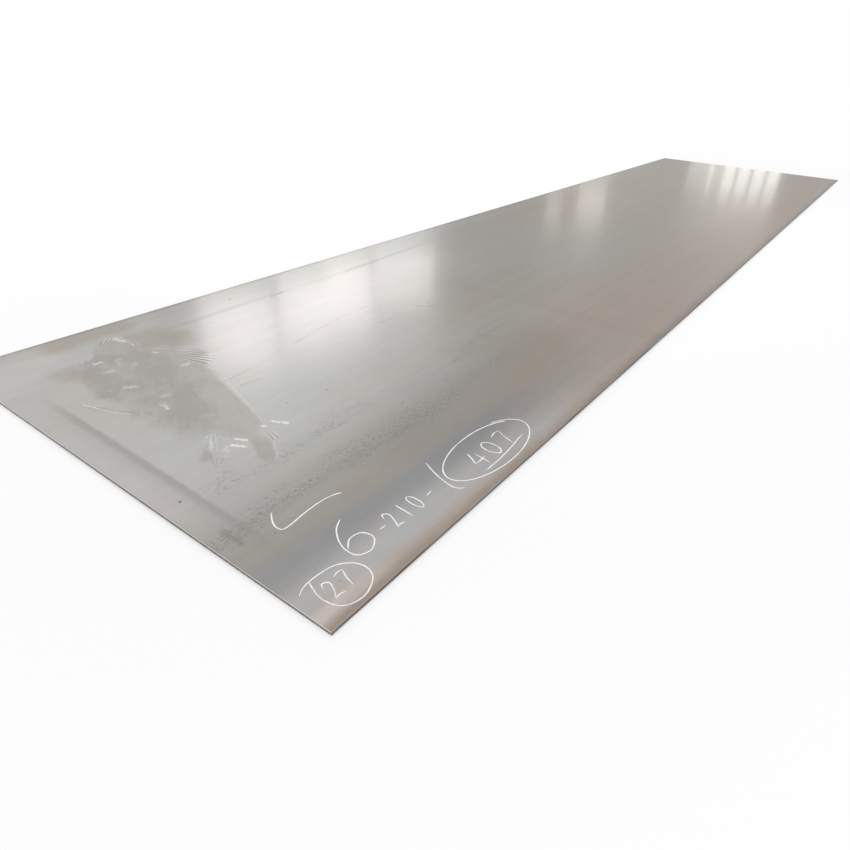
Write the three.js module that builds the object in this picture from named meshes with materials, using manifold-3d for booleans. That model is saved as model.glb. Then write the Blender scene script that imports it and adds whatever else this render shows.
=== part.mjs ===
// A hot-rolled structural steel plate, cut from coil to a stock length.
//
// Millimetres, +Z up. X runs along the plate, Y across it. The origin is the middle of the
// underside, so the plate lies on z = 0. The strip leaves the mill with rounded edges along
// both long sides, and a guillotine shears it square at both ends.

import * as THREE from 'three';
import { mergeVertices } from 'three/addons/utils/BufferGeometryUtils.js';
import Module from 'manifold-3d';

// Stock size.
const LENGTH = 6000;
const WIDTH = 1500;
const THICKNESS = 8;

// Mill edge along the long sides: the strip's edge is never cut, so it bulges between the rolls.
const MILL_BULGE = 1.8; // how far the nose stands out past the flat faces
const MILL_LAND = 2.4; // height of the flat at the nose
const MILL_ARC_SEGMENTS = 3;

// Sheared ends, from the face that the blade presses on to the face that tears last.
const ROLLOVER_DROP = 0.7; // the arris is drawn down by this much
const ROLLOVER_RUN = 1.4; // over this length of the plate
const ROLLOVER_SEGMENTS = 2;
const BURNISH_HEIGHT = 2.5; // square band that the blade wipes smooth
const LINE_Z = THICKNESS - ROLLOVER_DROP - BURNISH_HEIGHT; // where the burnish ends and the tear begins
const BREAK_ANGLE = THREE.MathUtils.degToRad(5); // the torn zone leans back from the burnished band
const TEAR_BELLY = 0.06; // the torn zone is a little full at mid height

// The line between burnish and tear wanders across the plate, and so does the tear itself, in
// shorter ripples. The ripples start at another phase at each end, so the two ends don't match.
const LINE_WANDER = 0.45;
const TEAR_WANDER = 0.1;
const TEAR_SHORTENING = 1.7;
const TEAR_PHASE = 1;
const LEAD_PHASE = 0;
const TAIL_PHASE = 3;
const SHEAR_STATIONS = 75;

// Each ripple is a share of the wander, a wavelength across the plate and a phase.
const RIPPLES = [
  { share: 0.5, wavelength: 410, phase: 0.4 },
  { share: 0.3, wavelength: 173, phase: 2.1 },
  { share: 0.2, wavelength: 71, phase: 4.4 },
];

const OVERCUT = 20; // the strip starts longer, and the cutters wider and taller, by this much

const MILL_SCALE = new THREE.MeshStandardMaterial({
  color: 0x8f9190,
  roughness: 0.42,
  metalness: 0.75,
});

const wasm = await Module();
wasm.setup();

/** The closed solid of a geometry, with the vertices that its faces share merged. */
function toSolid(geometry) {
  const bare = geometry.clone();
  bare.deleteAttribute('normal');
  bare.deleteAttribute('uv');
  const merged = mergeVertices(bare);
  return new wasm.Manifold(new wasm.Mesh({
    numProp: 3,
    vertProperties: new Float32Array(merged.attributes.position.array),
    triVerts: new Uint32Array(merged.index.array),
  }));
}

/** The geometry of a solid, with flat shading so that every arris stays crisp. */
function toGeometry(solid) {
  const mesh = solid.getMesh();
  const indexed = new THREE.BufferGeometry();
  indexed.setAttribute('position', new THREE.BufferAttribute(mesh.vertProperties, 3));
  indexed.setIndex(new THREE.BufferAttribute(mesh.triVerts, 1));
  const faceted = indexed.toNonIndexed();
  faceted.computeVertexNormals();
  return faceted;
}

/** The ripples added up at y, between -1 and 1, with every phase moved on by start. */
function ripple(y, start) {
  return RIPPLES.reduce((sum, { share, wavelength, phase }) => (
    sum + share * Math.sin((2 * Math.PI * y) / wavelength + phase + start)
  ), 0);
}

/** Section across the strip: flat faces, with a quarter ellipse on each side of each nose. */
function stripSection() {
  const noseY = WIDTH / 2;
  const flatY = noseY - MILL_BULGE;
  const arcHeight = (THICKNESS - MILL_LAND) / 2;
  const landBottom = arcHeight;
  const landTop = THICKNESS - arcHeight;
  const quarter = Math.PI / 2;
  const section = new THREE.Shape();
  section.moveTo(-flatY, 0);
  section.lineTo(flatY, 0);
  section.absellipse(flatY, landBottom, MILL_BULGE, arcHeight, -quarter, 0, false, 0);
  section.lineTo(noseY, landTop);
  section.absellipse(flatY, landTop, MILL_BULGE, arcHeight, 0, quarter, false, 0);
  section.lineTo(-flatY, THICKNESS);
  section.absellipse(-flatY, landTop, MILL_BULGE, arcHeight, quarter, 2 * quarter, false, 0);
  section.lineTo(-noseY, landBottom);
  section.absellipse(-flatY, landBottom, MILL_BULGE, arcHeight, 2 * quarter, 3 * quarter, false, 0);
  return section;
}

/** The strip before it is cut to length: its section carried along X. */
function strip() {
  const length = LENGTH + 2 * OVERCUT;
  const geometry = new THREE.ExtrudeGeometry(stripSection(), {
    depth: length,
    steps: 1,
    curveSegments: MILL_ARC_SEGMENTS,
    bevelEnabled: false,
  });
  const sectionToWorld = new THREE.Matrix4().makeBasis(
    new THREE.Vector3(0, 1, 0),
    new THREE.Vector3(0, 0, 1),
    new THREE.Vector3(1, 0, 0),
  );
  geometry.applyMatrix4(sectionToWorld);
  geometry.translate(-length / 2, 0, 0);
  return geometry;
}

/**
 * Side view of what the shear takes away at an end whose foremost plane is x = 0, with the plate
 * at x > 0. Its right side is the sheared face: rollover at the top, burnish, then tear.
 */
function wasteOutline() {
  const footX = LINE_Z * Math.tan(BREAK_ANGLE);
  const outline = new THREE.Shape();
  outline.moveTo(-2 * OVERCUT, -OVERCUT);
  outline.lineTo(footX, -OVERCUT);
  outline.lineTo(footX, 0);
  outline.lineTo(footX / 2 - TEAR_BELLY, LINE_Z / 2);
  outline.lineTo(0, LINE_Z);
  outline.lineTo(0, THICKNESS - ROLLOVER_DROP);
  outline.absellipse(
    ROLLOVER_RUN, THICKNESS - ROLLOVER_DROP, ROLLOVER_RUN, ROLLOVER_DROP,
    Math.PI, Math.PI / 2, true, 0,
  );
  outline.lineTo(ROLLOVER_RUN, THICKNESS + OVERCUT);
  outline.lineTo(-2 * OVERCUT, THICKNESS + OVERCUT);
  return outline;
}

/**
 * The waste beyond one end as a solid right across the strip. The line between burnish and tear
 * rises and falls with y, and the tear below it stands proud or falls back with y.
 */
function shearWaste(start) {
  const across = WIDTH + 2 * OVERCUT;
  const geometry = new THREE.ExtrudeGeometry(wasteOutline(), {
    depth: across,
    steps: SHEAR_STATIONS,
    curveSegments: ROLLOVER_SEGMENTS / 2,
    bevelEnabled: false,
  });
  const outlineToWorld = new THREE.Matrix4().makeBasis(
    new THREE.Vector3(1, 0, 0),
    new THREE.Vector3(0, 0, 1),
    new THREE.Vector3(0, -1, 0),
  );
  geometry.applyMatrix4(outlineToWorld);
  geometry.translate(0, across / 2, 0);

  const position = geometry.attributes.position;
  for (let i = 0; i < position.count; i += 1) {
    const x = position.getX(i);
    const y = position.getY(i);
    const z = position.getZ(i);
    const onFace = x > -OVERCUT && z >= 0 && z <= LINE_Z;
    if (onFace) {
      const nearLine = z / LINE_Z;
      const belowLine = Math.min(1, 2 * (1 - nearLine));
      const tear = ripple(y * TEAR_SHORTENING, start + TEAR_PHASE);
      position.setZ(i, z + LINE_WANDER * nearLine * ripple(y, start));
      position.setX(i, x + TEAR_WANDER * belowLine * tear);
    }
  }
  return geometry;
}

/** The plate: the strip, sheared at its leading end with the blade on top and at its tail from below. */
function steelPlate() {
  const leadWaste = shearWaste(LEAD_PHASE);
  leadWaste.translate(-LENGTH / 2, 0, 0);

  const tailWaste = shearWaste(TAIL_PHASE);
  tailWaste.rotateY(Math.PI);
  tailWaste.translate(LENGTH / 2, 0, THICKNESS);

  const cut = toSolid(strip())
    .subtract(toSolid(leadWaste))
    .subtract(toSolid(tailWaste));

  const mesh = new THREE.Mesh(toGeometry(cut), MILL_SCALE);
  mesh.name = 'steel_plate';
  return mesh;
}

const part = new THREE.Group();
part.add(steelPlate());

export default part;
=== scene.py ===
"""A hot-rolled steel plate, 8 mm thick, lying on a white floor as it comes from the stockholder."""

from math import radians

import bmesh
import bpy
import numpy as np
from mathutils import Matrix, Vector


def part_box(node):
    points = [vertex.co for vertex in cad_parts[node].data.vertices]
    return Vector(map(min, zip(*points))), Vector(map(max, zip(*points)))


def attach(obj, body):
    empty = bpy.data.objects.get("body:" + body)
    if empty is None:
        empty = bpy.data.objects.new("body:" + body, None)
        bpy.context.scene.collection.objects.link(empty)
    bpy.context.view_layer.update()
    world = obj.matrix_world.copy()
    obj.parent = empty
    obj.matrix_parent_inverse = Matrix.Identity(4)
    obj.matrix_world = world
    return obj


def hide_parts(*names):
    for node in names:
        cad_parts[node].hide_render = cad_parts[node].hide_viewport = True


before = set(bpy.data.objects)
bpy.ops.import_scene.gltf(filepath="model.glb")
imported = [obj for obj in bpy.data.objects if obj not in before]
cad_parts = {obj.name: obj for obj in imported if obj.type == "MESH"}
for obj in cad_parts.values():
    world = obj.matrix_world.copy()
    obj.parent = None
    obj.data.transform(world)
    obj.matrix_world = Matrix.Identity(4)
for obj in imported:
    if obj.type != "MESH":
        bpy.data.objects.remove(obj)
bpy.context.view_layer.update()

scene = bpy.context.scene

# --- Camera ---------------------------------------------------------------------------------------
# A wide lens held at waist height, just outside the near right corner of the plate. It looks along
# the plate and down at it, and is rolled by a few degrees.
EYE = Vector((-3.4625, -1.2803, 0.8444))
LOOK_AT = Vector((-2.3465, -0.5074, 0.008))
ROLL = radians(2.6)
LENS = 25.99
SHIFT_X = -0.0235


def add_object(name, data):
    """A new object of that mesh, lamp or camera, in the scene."""
    made = bpy.data.objects.new(name, data)
    scene.collection.objects.link(made)
    return made


forward = (LOOK_AT - EYE).normalized()
level_right = forward.cross(Vector((0, 0, 1))).normalized()
level_up = level_right.cross(forward)
camera_right = level_right * np.cos(ROLL) + level_up * np.sin(ROLL)
camera_up = camera_right.cross(forward)

camera_data = bpy.data.cameras.new("camera")
camera_data.lens = LENS
camera_data.shift_x = SHIFT_X
camera_data.clip_start = 0.01
camera = add_object("camera", camera_data)
turned = Matrix((camera_right, camera_up, -forward)).transposed().to_4x4()
camera.matrix_world = Matrix.Translation(EYE) @ turned
scene.camera = camera

# --- Floor and light ------------------------------------------------------------------------------
# A matt white floor without an edge and a pale backdrop. Soft lamps stand round the far side like
# the panes of two windows, and their sheen lies across the plate.
FLOOR_REACH = 40.0
FLOOR_COLOUR = (0.82, 0.82, 0.82, 1)
FLOOR_LIFT = 0.13  # brings the lit floor to the white of the backdrop
FLOOR_OVAL = (4.6, 2.4, 1.0)  # outside this oval the floor is as white as the backdrop
OVAL_CORE = 0.5  # and from this share of it on it begins to turn white
WHITE = (1.0, 1.0, 1.0, 1.0)
FILL = 0.85  # what matt surfaces get from the backdrop
BACKDROP_LOW = 0.37  # what gloss shows of the backdrop at the horizon
BACKDROP_HIGH = 0.9  # and from BACKDROP_RISE up, as a height on the unit sphere
BACKDROP_RISE = 0.7
NEAR_WINDOW = 9.0  # metres from the camera's mirror image to the panes of each window
FAR_WINDOW = 12.0
HAZE_WINDOW = 12.5
FAR_BARS = (8.65, 9.72, 10.8, 11.87)  # bearings at which the far window's narrow panes start
FAR_BAR_TURN = 0.82
OVERHEAD_HEIGHT = 6.0
OVERHEAD_SIZE = (7.0, 3.0)


def plug(tree, made, inputs):
    """Give each of these inputs of a node its value, or link it to the socket that stands there."""
    for key, value in inputs.items():
        if isinstance(value, bpy.types.NodeSocket):
            tree.links.new(value, made.inputs[key])
        else:
            made.inputs[key].default_value = value


def node(tree, kind, inputs=None, **settings):
    """A shader node of that kind, with its settings set and its inputs plugged in."""
    made = tree.nodes.new("ShaderNode" + kind)
    for key, value in settings.items():
        setattr(made, key, value)
    plug(tree, made, inputs or {})
    return made


def maths(tree, operation, first, second=0.0, third=0.0):
    """The value of a Math node."""
    return node(tree, "Math", {0: first, 1: second, 2: third}, operation=operation).outputs[0]


def eased(tree, value, start, end, low=0.0, high=1.0):
    """A value that goes smoothly from low, where value is start, to high, where value is end."""
    inputs = {"Value": value, "From Min": start, "From Max": end, "To Min": low, "To Max": high}
    return node(tree, "MapRange", inputs, interpolation_type="SMOOTHSTEP").outputs[0]


def background_ray(tree):
    """1 for rays that go straight from the camera, or by way of gloss or glass, to the backdrop."""
    path = node(tree, "LightPath")
    gloss = maths(tree, "MAXIMUM", path.outputs["Is Glossy Ray"], path.outputs["Is Transmission Ray"])
    return maths(tree, "MAXIMUM", path.outputs["Is Camera Ray"], gloss)


floor_mesh = bpy.data.meshes.new("floor")
floor_corners = [(-1, -1, 0), (1, -1, 0), (1, 1, 0), (-1, 1, 0)]
floor_mesh.from_pydata(np.array(floor_corners) * FLOOR_REACH, [], [(0, 1, 2, 3)])
floor = add_object("floor", floor_mesh)

floor_paint = bpy.data.materials.new("white_floor")
floor_paint.use_nodes = True
tree = floor_paint.node_tree
tree.nodes.clear()
place = node(tree, "TexCoord").outputs["Object"]
oval = node(tree, "VectorMath", {0: place, 1: FLOOR_OVAL}, operation="DIVIDE").outputs[0]
away = node(tree, "VectorMath", {0: oval}, operation="LENGTH").outputs["Value"]
matt = node(tree, "BsdfDiffuse", {"Color": FLOOR_COLOUR})
lift = node(tree, "Emission", {"Strength": FLOOR_LIFT})
lifted = node(tree, "AddShader", {0: matt.outputs[0], 1: lift.outputs[0]})
bare = node(tree, "Emission", {"Strength": 1.0})
beyond = eased(tree, away, OVAL_CORE, 1.0)
fading = node(tree, "MixShader", {0: beyond, 1: lifted.outputs[0], 2: bare.outputs[0]})
shown = node(tree, "MixShader", {0: background_ray(tree), 1: matt.outputs[0], 2: fading.outputs[0]})
node(tree, "OutputMaterial", {"Surface": shown.outputs[0]})
floor_mesh.materials.append(floor_paint)

# The backdrop is white to the camera. In gloss it is pale, and duller towards the horizon.
world = bpy.data.worlds.new("studio")
world.use_nodes = True
scene.world = world
tree = world.node_tree
tree.nodes.clear()
direction = node(tree, "TexCoord").outputs["Generated"]
height = node(tree, "SeparateXYZ", {0: direction}).outputs["Z"]
pale = eased(tree, height, 0.0, BACKDROP_RISE, BACKDROP_LOW, BACKDROP_HIGH)
level = maths(tree, "MAXIMUM", pale, node(tree, "LightPath").outputs["Is Camera Ray"])
backdrop = node(tree, "Background", {"Color": WHITE, "Strength": level})
fill = node(tree, "Background", {"Color": WHITE, "Strength": FILL})
shown = node(tree, "MixShader", {0: background_ray(tree), 1: fill.outputs[0], 2: backdrop.outputs[0]})
node(tree, "OutputWorld", {"Surface": shown.outputs[0]})


def softbox(name, place, aim, size, radiance):
    """A flat lamp at place that faces aim. A radiance of 1 would look white in a mirror."""
    lamp_data = bpy.data.lights.new(name, "AREA")
    lamp_data.shape = "RECTANGLE"
    lamp_data.size, lamp_data.size_y = size
    lamp_data.energy = radiance * np.pi * size[0] * size[1]
    lamp = add_object(name, lamp_data)
    lamp.location = place
    lamp.rotation_euler = (Vector(aim) - Vector(place)).to_track_quat("-Z", "Y").to_euler()
    lamp.visible_camera = False


def window_pane(name, bearings, heights, distance, radiance):
    """A softbox between two bearings and two heights, in degrees.

    They are those at which its reflection in the plate is seen, so they are taken from the camera's
    mirror image under the floor.
    """
    mirrored_eye = Vector((EYE.x, EYE.y, -EYE.z))
    turn, rise = radians(sum(bearings) / 2), radians(sum(heights) / 2)
    towards = Vector((np.cos(turn) * np.cos(rise), np.sin(turn) * np.cos(rise), np.sin(rise)))
    size = [2 * distance * np.tan(radians(ends[1] - ends[0]) / 2) for ends in (bearings, heights)]
    size[0] *= np.cos(rise)
    softbox(name, mirrored_eye + towards * distance, mirrored_eye, size, radiance)


window_pane("pane_side", (61.5, 84.0), (10, 42), NEAR_WINDOW, 0.3)
window_pane("pane_high", (49.0, 61.5), (27.5, 38), NEAR_WINDOW, 0.2)
window_pane("pane_left", (51.85, 58.3), (19.6, 25.8), NEAR_WINDOW, 2.45)
window_pane("pane_middle", (46.6, 51.0), (18.1, 24.1), NEAR_WINDOW, 2.6)
window_pane("pane_inner", (42.4, 46.6), (17.1, 22.1), NEAR_WINDOW, 3.05)
window_pane("pane_fading", (42.4, 46.6), (22.1, 23.4), NEAR_WINDOW, 1.3)
window_pane("pane_right", (36.4, 42.0), (16.0, 20.8), NEAR_WINDOW, 2.3)
window_pane("pane_slit", (25.35, 26.6), (10.5, 13), FAR_WINDOW, 1.1)
window_pane("pane_far", (21.6, 23.9), (9.8, 12.6), FAR_WINDOW, 1.25)
for start in FAR_BARS:
    window_pane("pane_end", (start, start + FAR_BAR_TURN), (5, 9.5), FAR_WINDOW, 1.8)
window_pane("pane_thin", (13.5, 13.8), (5, 9.4), FAR_WINDOW, 1.1)
window_pane("pane_last", (12.7, 15.4), (5, 9.4), FAR_WINDOW, 0.6)
window_pane("pane_haze", (3.0, 25.5), (5, 15), HAZE_WINDOW, 0.1)
softbox("overhead", (0, 0, OVERHEAD_HEIGHT), (0, 0, 0), OVERHEAD_SIZE, 1.3)

# --- Steel plate ----------------------------------------------------------------------------------
# One piece of low-carbon steel, rolled hot into strip and sheared to length. The strip's own edges
# are left as rolled. The guillotine cuts the leading end from above and the tail end from below.
low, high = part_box("steel_plate")
LENGTH = high.x - low.x
WIDTH = high.y - low.y
THICKNESS = high.z - low.z

MILL_BULGE = 0.0018
MILL_LAND = 0.0024
MILL_WANDER = 0.0005
ROLLOVER_DROP = 0.0007
ROLLOVER_RUN = 0.0014
BURNISH_HEIGHT = 0.0025
BREAK_ANGLE = radians(5)
LINE_WANDER = 0.0004  # of the line between burnish and tear, slowly along the cut
LINE_FLUTTER = 0.0002  # and quickly
RIDGE_DEPTH = 0.00016  # of the ridges in the torn zone
RIDGE_RUN = 0.001  # they start at the line and are full this far below it
DRAG_DEPTH = 0.00003  # of the drag lines on the burnished band
FLATNESS = 0.0002  # the rolled plate waves up and down by this much
CHALK_ROOM = 0.00006  # left over it for what is written on it

SQUARES_ALONG = 240  # of each flat face
SQUARES_ACROSS = 60
SIDE_SPLIT = 4  # quads of the mill edge for each square
END_SPLIT = 12  # quads of a sheared end for each square
ARC_STEPS = 5  # of a mill edge, above its land and below it
ARRIS_RING = 0.0012  # width of the ring of narrow quads just inside the arris
JOIN_RING = 0.012  # where the squares start
SHARP = radians(40)  # an arris that turns by more stays crisp

MERGE = 1e-6  # points nearer than this are one
WANDER_REACH = 10.0  # wandering heights are known this far each way

FLAT_HALF = WIDTH / 2 - MILL_BULGE
LEVELS = 2 * ARC_STEPS + 3  # rows of points from the lower face to the upper one
ROLL_LEVELS = 5  # of them in the rollover


def wandering(t, spacing, seed):
    """Smooth random heights from -1 to 1: a seeded value at every multiple of spacing, eased between."""
    place = (t + WANDER_REACH) / spacing
    left = np.floor(place).astype(int)
    knots = np.random.default_rng(seed).uniform(-1, 1, int(2 * WANDER_REACH / spacing) + 2)
    share = place - left
    ease = share * share * (3 - 2 * share)
    return knots[left] * (1 - ease) + knots[left + 1] * ease


def mill_levels():
    """Heights on a mill edge: even steps of angle on its lower quarter ellipse, land and upper one."""
    arc = (THICKNESS - MILL_LAND) / 2
    rise = arc * np.sin(np.linspace(0, np.pi / 2, ARC_STEPS + 1))
    upper = THICKNESS - arc + rise
    return np.concatenate([THICKNESS - upper[::-1], [THICKNESS / 2], upper])


def mill_bulge(z):
    """How far the mill edge stands out at height z: a quarter ellipse above and below a flat land."""
    arc = (THICKNESS - MILL_LAND) / 2
    beyond = np.clip(np.abs(z - THICKNESS / 2) - MILL_LAND / 2, 0, arc) / arc
    return MILL_BULGE * np.sqrt(1 - beyond**2)


def tear_line(y, seed):
    """Height of the line between burnish and tear, above the face that tears last: it wanders with y."""
    middle = THICKNESS - ROLLOVER_DROP - BURNISH_HEIGHT
    return middle + LINE_WANDER * wandering(y, 0.19, seed) + LINE_FLUTTER * wandering(y, 0.031, seed + 1)


def shear_levels(y, seed):
    """Heights on a sheared end, one row for each y: even steps up the tear, then burnish and rollover."""
    line = tear_line(y, seed)[:, None]
    roll_start = THICKNESS - ROLLOVER_DROP
    torn = line * np.linspace(0, 1, LEVELS - ROLL_LEVELS - 1)
    burnished = (line + roll_start) / 2
    rolled = roll_start + ROLLOVER_DROP * np.sin(np.linspace(0, np.pi / 2, ROLL_LEVELS))
    return np.hstack([torn, burnished, np.tile(rolled, (len(y), 1))])


def shear_setback(y, z, seed):
    """How far a sheared end lies behind its foremost plane.

    A quarter ellipse for the rollover, fine drag lines on the burnished band, and below that a lean
    at the break angle, roughened by ridges that run up the plate's thickness.
    """
    line = tear_line(y, seed)
    into_roll = np.clip(1 - (THICKNESS - z) / ROLLOVER_DROP, 0, 1)
    rolled = ROLLOVER_RUN * (1 - np.sqrt(1 - into_roll**2))
    below = np.clip(line - z, 0, None)
    ridges = 0.6 * wandering(y, 0.013, seed + 2) + 0.4 * wandering(y, 0.0042, seed + 3)
    rough = RIDGE_DEPTH * np.clip(below / RIDGE_RUN, 0, 1) * (1 + ridges) / 2
    drag = DRAG_DEPTH * (1 + wandering(y, 0.0045, seed + 4)) / 2
    return rolled + below * np.tan(BREAK_ANGLE) + rough + drag


def sheared_end(from_above, seed):
    """Points of one end as an array of y by level: the leading end if it is cut from above.

    The levels are those of the shear, eased to those of the mill edge over the last few columns.
    The tail end is made in the same way, then turned round and over.
    """
    y = np.linspace(-FLAT_HALF, FLAT_HALF, SQUARES_ACROSS * END_SPLIT + 1)
    inside = np.clip((FLAT_HALF - np.abs(y)) / JOIN_RING, 0, 1)[:, None]
    z = shear_levels(y, seed) * inside + mill_levels() * (1 - inside)
    x = shear_setback(y[:, None], z, seed) - LENGTH / 2
    across = y[:, None] * (1 + mill_bulge(z) / FLAT_HALF)
    points = np.stack([x, across, z], axis=-1)
    if from_above:
        return points
    return points[:, ::-1] * (-1, 1, -1) + (0, 0, THICKNESS)


def mill_edge(lead_corner, tail_corner):
    """Points of one long side as an array of x by level, straight from one corner to the other."""
    share = np.linspace(0, 1, SQUARES_ALONG * SIDE_SPLIT + 1)[:, None, None]
    return lead_corner * (1 - share) + tail_corner * share


def grid_quads(ids):
    """The quads of a grid of vertex numbers."""
    corners = [ids[:-1, :-1], ids[1:, :-1], ids[1:, 1:], ids[:-1, 1:]]
    return np.stack(corners, axis=-1).reshape(-1, 4)


def joining_triangles(fine, coarse, split):
    """Triangles between a line of vertices and one with split times fewer steps.

    Each step of the coarse line takes split steps of the fine one: the first half of them meet its
    first end and the rest its second, and one triangle stands on the step itself.
    """
    step = np.arange(len(fine) - 1)
    owner = coarse[(step // split) + (step % split >= split // 2)]
    fans = np.stack([fine[:-1], fine[1:], owner], axis=-1)
    middle = fine[split // 2::split]
    wedges = np.stack([coarse[:-1], middle, coarse[1:]], axis=-1)
    return np.concatenate([fans, wedges])


class Shell:
    """Vertices and faces gathered patch by patch, each with the number of its material."""

    def __init__(self):
        self.points = []
        self.faces = []
        self.finishes = []
        self.count = 0

    def add_points(self, points):
        """The vertex numbers of an array of points, in the array's own layout."""
        ids = np.arange(self.count, self.count + points[..., 0].size).reshape(points.shape[:-1])
        self.points.append(points.reshape(-1, 3))
        self.count += ids.size
        return ids

    def add_faces(self, faces, finish):
        """Faces of one finish, as rows of vertex numbers."""
        self.faces.extend(faces.tolist())
        self.finishes.extend([finish] * len(faces))


# The numbers of the plate's materials.
TOP, UNDER, END, EDGE = range(4)


def flat_face(shell, outline, finish):
    """One flat face inside its outline, which is four lines of points: lead, tail, right and left.

    A ring of narrow quads follows the outline, then triangles join it to a grid of squares.
    """
    half = np.array([LENGTH / 2, FLAT_HALF])
    squares_x = np.linspace(-1, 1, SQUARES_ALONG + 1) * (half[0] - JOIN_RING)
    squares_y = np.linspace(-1, 1, SQUARES_ACROSS + 1) * (half[1] - JOIN_RING)
    x, y = np.meshgrid(squares_x, squares_y, indexing="ij")
    z = np.full_like(x, outline["lead"][0, 2])
    squares = shell.add_points(np.stack([x, y, z], axis=-1))
    shell.add_faces(grid_quads(squares), finish)
    borders = {"lead": squares[0], "tail": squares[-1], "right": squares[:, 0], "left": squares[:, -1]}
    limit = half - ARRIS_RING - ROLLOVER_RUN
    for side, line in outline.items():
        ring = line.copy()
        ring[:, :2] = np.clip(line[:, :2], -limit, limit)
        band = shell.add_points(np.stack([line, ring]))
        shell.add_faces(grid_quads(band), finish)
        split = END_SPLIT if side in ("lead", "tail") else SIDE_SPLIT
        shell.add_faces(joining_triangles(band[1], borders[side], split), finish)


shell = Shell()
lead = sheared_end(True, 20)
tail = sheared_end(False, 40)
right = mill_edge(lead[0], tail[0])
left = mill_edge(lead[-1], tail[-1])
for patch, finish in ((lead, END), (tail, END), (right, EDGE), (left, EDGE)):
    shell.add_faces(grid_quads(shell.add_points(patch)), finish)
for level, finish in ((-1, TOP), (0, UNDER)):
    outline = {"lead": lead[:, level], "tail": tail[:, level]}
    outline |= {"right": right[:, level], "left": left[:, level]}
    flat_face(shell, outline, finish)

points = np.concatenate(shell.points)


def waves(x, y):
    """Height of the plate's flatness waves, between -FLATNESS and FLATNESS.

    Three sine waves along the plate: a long one that also waves across it, a short slanting one, and
    one that grows with the fourth power of the distance from the middle line.
    """
    long_wave = np.sin(2 * np.pi * x / 2.3 + 0.6) * np.cos(2 * np.pi * y / 2.9 + 0.3)
    short_wave = np.sin(2 * np.pi * x / 0.9 + 1.2 + 2.0 * y)
    edge_wave = np.sin(2 * np.pi * x / 1.3 + 2.2) * np.clip(np.abs(y) / 0.75, 0, 1) ** 4
    return FLATNESS * (0.45 * long_wave + 0.25 * short_wave + 0.3 * edge_wave)


def turn_outwards(mesh, merge=0.0):
    """Turn a mesh's faces outwards, once the points that are nearer to each other than merge are one."""
    edited = bmesh.new()
    edited.from_mesh(mesh)
    if merge:
        bmesh.ops.remove_doubles(edited, verts=edited.verts, dist=merge)
    bmesh.ops.recalc_face_normals(edited, faces=edited.faces)
    edited.to_mesh(mesh)
    edited.free()


# The mill edges wander in by up to MILL_WANDER. The plate is a little thinner than its box, which
# leaves room for its waves and for the chalk.
near_side = np.clip((np.abs(points[:, 1]) - FLAT_HALF + JOIN_RING) / JOIN_RING, 0, 1)
for side, seed in ((-1, 60), (1, 61)):
    slow = wandering(points[:, 0], 0.41, seed)
    quick = wandering(points[:, 0], 0.09, seed + 5)
    drawn_in = 0.5 + 0.35 * slow + 0.15 * quick
    on_side = np.sign(points[:, 1]) == side
    points[:, 1] -= side * on_side * near_side * MILL_WANDER * drawn_in
rolled_thickness = THICKNESS - 2 * FLATNESS - CHALK_ROOM
points[:, 2] *= rolled_thickness / THICKNESS
points[:, 2] += FLATNESS + waves(points[:, 0], points[:, 1])

plate_mesh = bpy.data.meshes.new("rolled_plate")
plate_mesh.from_pydata(points, [], shell.faces)
plate_mesh.polygons.foreach_set("material_index", shell.finishes)
turn_outwards(plate_mesh, MERGE)
plate_mesh.shade_smooth()
plate_mesh.set_sharp_from_angle(angle=SHARP)

plate = add_object("rolled_plate", plate_mesh)
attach(plate, "root")
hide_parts("steel_plate")

# Its finishes. Mill scale is the grey oxide skin that grows on hot steel. It is tan along the right
# edge, and has bands of small pits where loose scale was rolled in. One patch has been rubbed dull.
# The cut ends are bare steel that has begun to tarnish.
DULL_TAN = (0.335, 0.28, 0.235)
PINK_TAN = (0.402, 0.336, 0.292)
TAN_GREY = (0.386, 0.327, 0.285)
OLIVE_GREY = (0.365, 0.345, 0.302)
WARM_GREY = (0.385, 0.365, 0.326)
SAND_GREY = (0.382, 0.36, 0.33)
BLUE_GREY = (0.285, 0.293, 0.30)
PALE_BLUE = (0.318, 0.322, 0.325)
OLIVE_DARK = (0.325, 0.312, 0.285)
COOL_DARK = (0.335, 0.333, 0.315)
EDGE_GREY = (0.43, 0.428, 0.425)
COOL_GREY = (0.40, 0.398, 0.38)
PALE_GREY = (0.443, 0.433, 0.426)
WARM_PALE = (0.453, 0.438, 0.439)
PALE_CORNER = (0.60, 0.565, 0.535)
RUBBED = (0.43, 0.408, 0.385)
RUBBED_DARK = (0.35, 0.330, 0.306)
# Pale scratched steel, also used for painted highlights.
SCRATCHED_AND_GLINT = (0.78, 0.765, 0.74)
# Pale bare steel: used for wear, and for painted highlights and glints.
WORN_AND_HIGHLIGHT = (0.80, 0.77, 0.74)
RUST = (0.16, 0.085, 0.045)
GRIME = (0.12, 0.09, 0.07)
# Soot-dark: used for dark marks, and for the painted shade of the fold near the leading end.
SOOT_AND_SHADE = (0.06, 0.055, 0.05)
OLIVE_SOOT = (0.07, 0.078, 0.05)
TORN = (0.50, 0.43, 0.41)
TORN_DARK = (0.22, 0.18, 0.168)
# The burnished band's colours, painted dark partly as the shade under the rollover.
BURNISHED_AND_SHADE = (0.2, 0.17, 0.16)
BURNISHED_AND_SHADE_DARK = (0.12, 0.10, 0.092)
TARNISHED = (0.10, 0.085, 0.075)
BROWN_SCALE = (0.25, 0.225, 0.205)
BROWN_SCALE_DARK = (0.13, 0.115, 0.10)

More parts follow.
